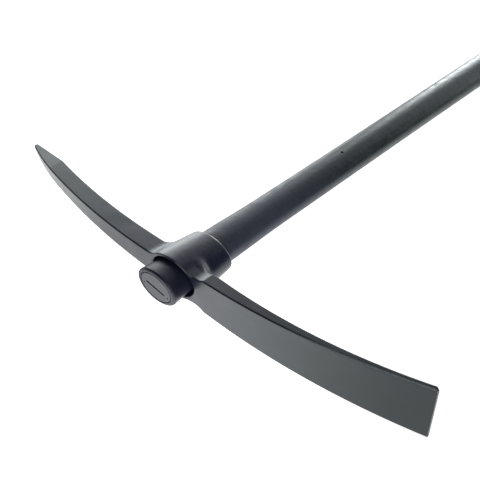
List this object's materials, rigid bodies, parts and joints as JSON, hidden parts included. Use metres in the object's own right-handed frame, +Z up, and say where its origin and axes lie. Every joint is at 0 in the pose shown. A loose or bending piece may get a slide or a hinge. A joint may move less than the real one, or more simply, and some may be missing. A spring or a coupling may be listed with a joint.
{
  "type": "pick axe",
  "caption": "Pick axe with a one-piece forged head, a square-section point and a broad curved blade, dropped over an oval moulded handle whose swollen nose wedges in the eye.",
  "frame": {"origin": "centre of the nose face, at the front end of the handle", "axes": "+Y along the handle from the nose to the butt, +X towards the blade, +Z up with the tool lying on its side"},
  "size_m": [0.5338, 0.95, 0.0574],
  "materials": {
    "forged_steel": "satin dark grey lacquer over a forged skin",
    "jacket_plastic": "satin black moulded skin",
    "cap_plastic": "fine matt moulded face",
    "glass_fibre": "drawn glass fibre rod"
  },
  "bodies": {
    "handle": {"handle_jacket": "jacket_plastic", "handle_core": "glass_fibre", "nose_cap": "cap_plastic", "butt_cap": "cap_plastic"},
    "pick_head": {"head": "forged_steel"}
  },
  "joints": [
    {"name": "head_slide", "type": "slide", "parent": "handle", "child": "pick_head", "axis": [0, 1, 0], "range_m": [0, 0.877]}
  ]
}
